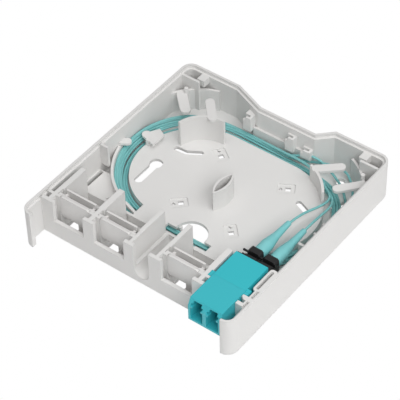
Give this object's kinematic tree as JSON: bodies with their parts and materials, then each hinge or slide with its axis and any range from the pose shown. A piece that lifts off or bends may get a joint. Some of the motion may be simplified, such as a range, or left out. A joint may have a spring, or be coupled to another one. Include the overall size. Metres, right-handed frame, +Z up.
{
  "type": "fibre splice tray",
  "caption": "Open splice tray base for fibre, with a clip-in duplex adapter, blanked bays, curved fibre guides and pigtails coiled round a raised deck.",
  "frame": {"origin": "centre of the footprint of the moulding, on its mounting face", "axes": "+Z up from the mounting face to the open rim; -Y towards the front panel with the bays; +X towards the bay that holds the adapter"},
  "size_m": [0.088, 0.094, 0.0164],
  "materials": {
    "tray_plastic": "satin",
    "blank_plastic": "satin",
    "adapter_front_plastic": "satin",
    "adapter_rear_plastic": "satin",
    "connector_plastic": "satin",
    "boot_rubber": "satin",
    "zirconia": "polished",
    "holder_metal": "satin",
    "spring_steel": "satin",
    "fibre_jacket": "satin"
  },
  "bodies": {
    "tray_body": {"tray": "tray_plastic", "bay_blank_1": "blank_plastic", "bay_blank_2": "blank_plastic", "bay_blank_3": "blank_plastic", "adapter_front": "adapter_front_plastic", "adapter_rear": "adapter_rear_plastic", "split_sleeve_a": "zirconia", "connector_housing_a": "connector_plastic", "ferrule_spring_a": "spring_steel", "rear_body_a": "connector_plastic", "boot_a": "boot_rubber", "pigtail_a": "fibre_jacket", "split_sleeve_b": "zirconia", "connector_housing_b": "connector_plastic", "ferrule_spring_b": "spring_steel", "rear_body_b": "connector_plastic", "boot_b": "boot_rubber", "pigtail_b": "fibre_jacket", "fibre_coil": "fibre_jacket"},
    "ferrule_a_slide": {"ferrule_a": "zirconia", "ferrule_holder_a": "holder_metal"},
    "ferrule_b_slide": {"ferrule_b": "zirconia", "ferrule_holder_b": "holder_metal"}
  },
  "joints": [
    {"name": "ferrule_a_push", "type": "slide", "parent": "tray_body", "child": "ferrule_a_slide", "axis": [0, 1, 0], "range_m": [0, 0.0008], "stiffness_N_per_m": 2000, "deforming": ["ferrule_spring_a"]},
    {"name": "ferrule_b_push", "type": "slide", "parent": "tray_body", "child": "ferrule_b_slide", "axis": [0, 1, 0], "range_m": [0, 0.0008], "stiffness_N_per_m": 2000, "deforming": ["ferrule_spring_b"]}
  ]
}
